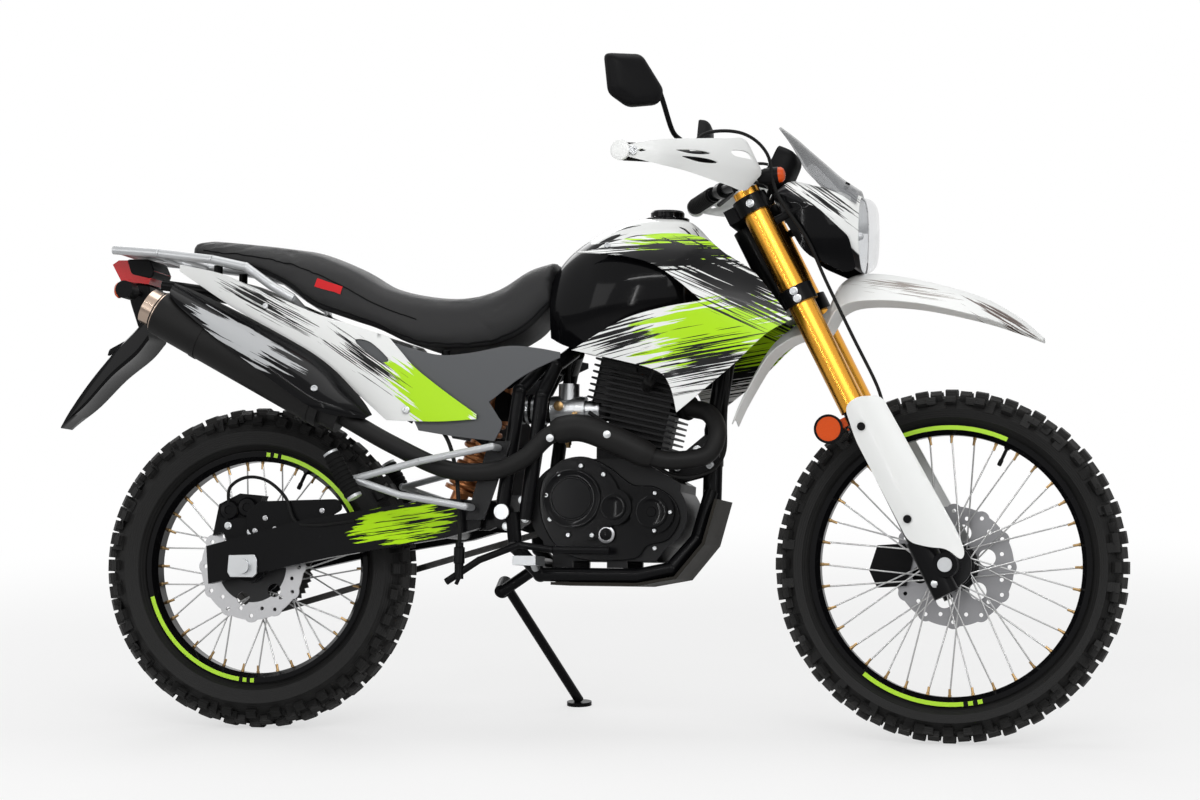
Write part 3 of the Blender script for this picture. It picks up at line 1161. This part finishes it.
block = [(-30, 348), (24, 350), (30, 340), (30, 312), (22, 304), (-26, 304), (-32, 314)]
block = fill(block, lambda a, b: (a, -119.4, b), 14)
thicken(piece("chain_adjusters", both(*block), "zinc", "rear_axle"), 6, 1.2, 1)
pots = [lathe([(20, -6), (20, 8), (17, 11), (9, 11.5), (8, 9), (0, 9)], (x, -84, z), RIGHT, 28)
        for x, z in ((-42, 440), (-4, 446))]
piece("rear_caliper_pots", merged(*pots), "cover", "rear_caliper")
pots = [lathe([(18, -6), (18, 7), (15, 10), (8, 10.5), (7, 8), (0, 8)], (WHEELBASE - 128, 82, FRONT_R + z),
              LEFT, 28) for z in (-22, 20)]
piece("front_caliper_pots", merged(*pots), "cover", "front_caliper")

plate_edge = rounded([(-4, 436), (24, 458), (190, 464), (200, 444), (100, 383), (20, 380), (0, 398)], 10)
soften(piece("brake_stay", prism(plate_edge, -99, -94), "frame", "rear_caliper"), 1.5, 2)
stay_bolts = [bolt((x, -99, z), RIGHT, 4.2, 4) for x, z in ((37, 424), (16, 398), (58, 402), (156, 440))]
piece("brake_stay_bolts", merged(*stay_bolts), "steel", "rear_axle")

# Passenger pegs

peg_root, peg_end = Vector((257, -214, 462)), Vector((204, -214, 552))
ribs = [(15.4, 6), (17.4, 8)] + repeated([(17.6, 10), (17.6, 15), (16.2, 16), (16.2, 18.5)], 9, 9.5)
ribs += [(17, 97), (14, 101)]
piece("passenger_rubbers", both(*lathe(ribs, peg_root, peg_end - peg_root, 24)), "rubber", "passenger_pegs")

# Hoses and cables

master = merged(lathe([(9, 0), (9, 30), (11, 31), (11, 62), (8, 64), (8, 72)], (452, -140, 306), UP, 20),
                sweep([(452, -140, 308), (446, -138, 296)], 4))
piece("brake_master", master, "cover", "foot_levers")
front_hose = [upper(p) for p in ((-104, -256, 92), (-72, -220, 128), (-10, -178, 132), (34, -150, 96),
                                 (52, -132, 20))]
front_hose += [steer(*p) for p in ((42, -118, 690), (38, -108, 600), (36, -106, 480), (36, -106, 380),
                                   (30, -110, 330))]
clutch = [upper(p) for p in ((-104, 256, 92), (-70, 214, 122), (-6, 160, 118), (36, 110, 60), (40, 90, -10))]
# Name, node, radius and route of each line
LINES = [
    ("throttle_cable", "carburettor", 3, [
        (641, -8, 702), (642, -10, 740), (670, -20, 780), (740, -30, 796), (860, -38, 848), (960, -44, 920)]),
    ("rear_hose", "rear_caliper", 3.4, [
        (-44, -92, 452), (-40, -94, 486), (-6, -96, 506), (38, -98, 500), (80, -104, 466), (104, -112, 418),
        (150, -121, 410), (230, -121, 420)]),
    ("pedal_hose", "foot_levers", 4.2, [
        (370, -112, 640), (400, -122, 610), (424, -127, 575), (440, -132, 520), (447, -137, 470),
        (452, -140, 410), (452, -140, 376)]),
    ("breather_hose", "engine_case", 4, [
        (700, -92, 640), (760, -104, 600), (860, -98, 520), (930, -80, 520), (962, -40, 560), (964, -34, 640),
        (970, -34, 760)]),
    ("front_hose", "front_caliper", 3.4, front_hose),
    ("clutch_cable", "handlebar", 3.2, clutch)]
for name, node, r, route in LINES:
    piece(name, sweep(spline(route, 8), r), "hose", node)

# Fork

rims = [lathe([(28.5, -2), (28.5, 9.5), (26, 10.5), (24, 9), (24, 7)], steer(-86, s * (LEG_Y + 4), 337),
              (0, s, 0), 40) for s in SIDES]
piece("reflector_rims", merged(*rims), "plastic", "fork_reflectors")
guard_edge = rounded([(-48, 293), (-38, 360), (-7, 366), (37, 347), (50, 44), (46, 4), (32, -8), (18, 26),
                      (-11, 42), (-44, 70)], 16)
sheath = fill(guard_edge, lambda a, b: steer(a, -(LEG_Y + 37 - 15 * ((a - 2) / 50) ** 2), b), 13)
guards = thicken(piece("fork_sheaths", both(*sheath), "white", "fork_guards"), SHEET)
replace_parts(guards, "fork_guards")
studs = []
for s in SIDES:
    for height in (110, 310):
        studs.append(lathe([(8, 0), (8, 12)], steer(-AXLE_LEAD, s * (LEG_Y + TUBE_R - 2), height), (0, s, 0),
                           20))
piece("sheath_studs", merged(*studs), "plastic", "fork_guards")
pinch = []
for s in SIDES:
    y = s * (LEG_Y + TUBE_R + 7.5)
    for height in (CLAMP_LOW - 8, CLAMP_LOW + 8, CLAMP_HIGH):
        pinch.append(bolt(steer(-AXLE_LEAD, y, height), (0, s, 0), 6.5, 6))
    pinch.append(lathe([(25, 0), (25, 3), (20, 5), (12, 5), (11, 3), (0, 3)],
                       steer(-AXLE_LEAD, s * LEG_Y, CLAMP_HIGH + 32), FORK_WAY, 32))
    pinch.append(bolt(steer(-34, s * (LEG_Y + TUBE_R - 4), -24), (0, s, 0), 6, 5))
piece("fork_bolts", merged(*pinch), "zinc", "fork_clamps")
stem = lathe([(18, 0), (18, 4), (14, 5), (13, 14), (10, 16), (0, 16)], steer(-63, 0, CLAMP_HIGH + 15),
             FORK_WAY, 6)
piece("stem_nut", stem, "zinc", "fork_clamps")

# Mirrors

mirror_edge = rounded([(-60, 50), (14, 54), (64, -14), (54, -40), (-8, -50), (-50, -26)], 12)
# Turn of each mirror about its stem: the left one faces straight back
MIRROR_TURN = {-1: 36, 1: 86}


def mirror_ring(depth, scale, side):
    """Outline of a mirror at one depth of its housing."""
    turn = Matrix.Rotation(math.radians(MIRROR_TURN[side]), 3, "Z")
    mid = sum(mirror_edge, Vector((0, 0))) / len(mirror_edge)
    ring = []
    for q in mirror_edge:
        q = mid + (q - mid) * scale
        at = Vector((-182, -404, 200)) + turn @ Vector((q.x, depth, q.y))
        ring.append(upper((at.x, -side * at.y, at.z)))
    return ring


shells, glasses, stems = [], [], []
for s in SIDES:
    rings = [mirror_ring(depth, scale, s) for depth, scale in ((14, 0.985), (11, 1), (0, 0.97), (-9, 0.86),
                                                               (-14, 0.66), (-16, 0.3))]
    shells.append(loft(rings, 3))
    face = mirror_ring(14.3, 0.92, s)
    glasses.append((face, [tuple(range(len(face)))]))
    way = [(-118, -252, 96), (-118, -252, 108), (-128, -300, 122), (-140, -380, 186), (-160, -392, 196),
           (-172, -398, 198)]
    stems.append(sweep(spline([upper((x, -s * y, z)) for x, y, z in way], 8), 5, 14))
    stems.append(lathe([(9, 0), (9, 10), (7, 14)], upper((-118, s * 252, 97.6)), UP, 6))
mirror = piece("mirror_shells", merged(*shells), "plastic", "mirrors", sharp=60)
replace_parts(mirror, "mirrors")
piece("mirror_stems", merged(*stems), "plastic", "mirrors")
piece("mirror_faces", merged(*glasses), "mirror", "mirrors")

# Instrument

DASH_TILT = math.radians(24)
DASH_EDGE = [(-62, -34), (62, -34), (54, 50), (-54, 50)]
DASH_FACE = -18.6


def dash_point(depth, y, height):
    """A point of the instrument: depth behind its face's middle plane, height up the face."""
    c, k = math.cos(DASH_TILT), math.sin(DASH_TILT)
    return upper((38 + depth * c + height * k, y, 76 - depth * k + height * c))


def dash_ring(depth, scale):
    return [dash_point(depth, a * scale, 6 + (b - 6) * scale) for a, b in rounded(DASH_EDGE, 18, 5)]


case_rows = ((-18, 0.95), (-15, 1), (8, 1), (20, 0.9), (28, 0.66), (31, 0.3))
case = piece("dash_case", loft([dash_ring(*r) for r in case_rows], 4), "plastic", "instrument", sharp=50)
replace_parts(case, "instrument")
stays = [sweep([upper((x, s * 30, z)) for x, z in ((0, 4), (14, 18), (28, 50))], 5, 12) for s in SIDES]
piece("dash_stays", merged(*stays), "plastic", "instrument")
face = [dash_point(DASH_FACE, a * 0.82, 6 + (b - 6) * 0.78) for a, b in rounded(DASH_EDGE, 14)]
piece("dash_glass", (face, [tuple(range(len(face)))]), "gloss", "instrument")
to_rider = dash_point(-1, 0, 0) - dash_point(0, 0, 0)
dial = [lathe([(25, 0), (25, 2.4), (22.5, 2.4), (22, 1), (0, 1)], dash_point(DASH_FACE, y, 8), to_rider, 40)
        for y in (-24, 26)]
piece("dash_dials", merged(*dial), "zinc", "instrument")

# Indicators, grips and muffler end

POD_WAY = (1, 0, 0.1)
pods, pod_lenses = [], []
for s in SIDES:
    pod = upper((40, s * 126, 56))
    pods.append(lathe([(4, -30), (12, -26), (16, -12), (16, 14)], pod, POD_WAY, 24))
    pods.append(sweep([upper((34, s * 88, 28)), upper((36, s * 112, 46))], 6, 12))
    pod_lenses.append(lathe([(15.4, 14), (15, 20), (11, 25), (4, 27)], pod, POD_WAY, 24))
piece("front_indicators", merged(*pods), "plastic", "headlight_fairing")
piece("front_indicator_lenses", merged(*pod_lenses), "amber", "fork_reflectors")
turns = [(17.2, 2)] + repeated([(17.6, 4), (17.6, 10), (16.4, 11), (16.4, 12.6)], 12, 9.6) + [(16, 122)]
grips = []
for s in SIDES:
    root = upper((-146, s * 298, 77))
    grips.append(lathe(turns, root, upper((-205, s * 408, 66)) - root, 24))
piece("bar_grips", merged(*grips), "rubber", "handlebar")
ends = [lathe([(43.2, 0), (43.2, 5), (40, 7), (37, 7)], MUFFLER_OUT - 2 * MUFFLER_WAY, MUFFLER_WAY, 40),
        lathe([(37.2, 6), (37.2, 30.5), (33, 30.5), (33, 10)], MUFFLER_OUT, MUFFLER_WAY, 40)]
piece("muffler_end", merged(*ends), "end_cap", "muffler")

lenses = [lathe([(16.5, 0), (16.5, 3), (12, 8), (5, 10), (0, 10)], (-278, s * 117, 886), (-1, 0, 0), 24)
          for s in SIDES]
piece("indicator_lenses", merged(*lenses), "amber", "rear_indicators")

# Studio: pale floor, white surround, soft lamps

SURROUND = 0.28
FLOOR_HALF = 30
# Name, place, aim and size of each lamp in metres, and its watts
LAMPS = [("key", (1.6, -3.6, 2.9), (0, 0, 0.6), (3.0, 1.6), 42),
         ("strip", (0.2, -2.7, 2.5), (0, 0, 0.55), (2.8, 0.03), 18),
         ("side", (-0.7, -2.9, 1.2), (0, 0, 0.5), (0.025, 1.4), 6),
         ("edge", (2.5, -1.9, 1.3), (0.2, 0, 0.6), (0.03, 1.6), 7),
         ("fill", (-2.8, -2.8, 1.8), (0, 0, 0.6), (1.8, 1.8), 21),
         ("top", (0, 0.2, 3.6), (0, 0, 0.5), (3.2, 2.0), 50),
         ("rim", (-1.5, 3.2, 2.4), (0, 0, 0.7), (2.5, 1.2), 26)]

def white_to_camera(nt, dull):
    """1 for rays that show the background, else the plain light level."""
    path = nt.nodes.new("ShaderNodeLightPath")
    seen = calc(nt, "MAXIMUM", path.outputs["Is Camera Ray"], path.outputs["Is Glossy Ray"])
    seen = calc(nt, "MAXIMUM", seen, path.outputs["Is Transmission Ray"])
    return calc(nt, "MULTIPLY_ADD", seen, 1 - dull, dull)


def studio():
    scene = bpy.context.scene
    scene.view_settings.view_transform = "Standard"
    world = bpy.data.worlds.new("studio")
    world.use_nodes = True
    scene.world = world
    nt = world.node_tree
    back = next(n for n in nt.nodes if n.bl_idname == "ShaderNodeBackground")
    back.inputs["Color"].default_value = rgb(1, 1, 1)
    put(nt, back.inputs["Strength"], white_to_camera(nt, SURROUND))

    mat, nt, bsdf = new_mat("floor_paint")
    paint(nt, bsdf, rgb(0.86, 0.86, 0.86), 0.7, 0.2)
    glow = nt.nodes.new("ShaderNodeEmission")
    glow.inputs["Color"].default_value = rgb(1, 1, 1)
    join = nt.nodes.new("ShaderNodeMixShader")
    path = nt.nodes.new("ShaderNodeLightPath")
    far = band(nt, length(nt, here(nt)), 1.2, 3.2)
    put(nt, join.inputs[0], calc(nt, "MULTIPLY", path.outputs["Is Camera Ray"],
                                 calc(nt, "MULTIPLY_ADD", far, 0.38, 0.62)))
    out = next(n for n in nt.nodes if n.bl_idname == "ShaderNodeOutputMaterial")
    nt.links.new(bsdf.outputs[0], join.inputs[1])
    nt.links.new(glow.outputs[0], join.inputs[2])
    nt.links.new(join.outputs[0], out.inputs[0])
    mesh = bpy.data.meshes.new("floor")
    mesh.from_pydata([(FLOOR_HALF * a, FLOOR_HALF * b, 0) for a, b in ((-1, -1), (1, -1), (1, 1), (-1, 1))],
                     [], [(0, 1, 2, 3)])
    mesh.materials.append(mat)
    floor = bpy.data.objects.new("floor", mesh)
    bpy.context.collection.objects.link(floor)

    for name, place, aim, size, power in LAMPS:
        data = bpy.data.lights.new(name, "AREA")
        data.shape = "RECTANGLE"
        data.size, data.size_y = size
        data.energy = power
        obj = bpy.data.objects.new(name, data)
        obj.location = place
        obj.rotation_euler = (Vector(aim) - Vector(place)).to_track_quat("-Z", "Y").to_euler()
        bpy.context.collection.objects.link(obj)


def camera():
    yaw, pitch, roll = (math.radians(a) for a in CAMERA_TURNS)
    ahead = Vector((-math.sin(yaw) * math.cos(pitch), math.cos(yaw) * math.cos(pitch), -math.sin(pitch)))
    right = Vector((math.cos(yaw), math.sin(yaw), 0))
    up = right.cross(ahead)
    level = right * math.cos(roll) + up * math.sin(roll)
    upward = up * math.cos(roll) - right * math.sin(roll)
    data = bpy.data.cameras.new("view")
    data.sensor_fit = "HORIZONTAL"
    data.sensor_width = SENSOR
    data.lens = SENSOR * FOCAL_PIXELS / PHOTO_PIXELS
    data.dof.use_dof = False
    obj = bpy.data.objects.new("view", data)
    m = Matrix((level, upward, -ahead)).transposed().to_4x4()
    m.translation = (CAMERA_AT - HOME) / 1000
    obj.matrix_world = m
    bpy.context.collection.objects.link(obj)
    bpy.context.scene.camera = obj


studio()
camera()
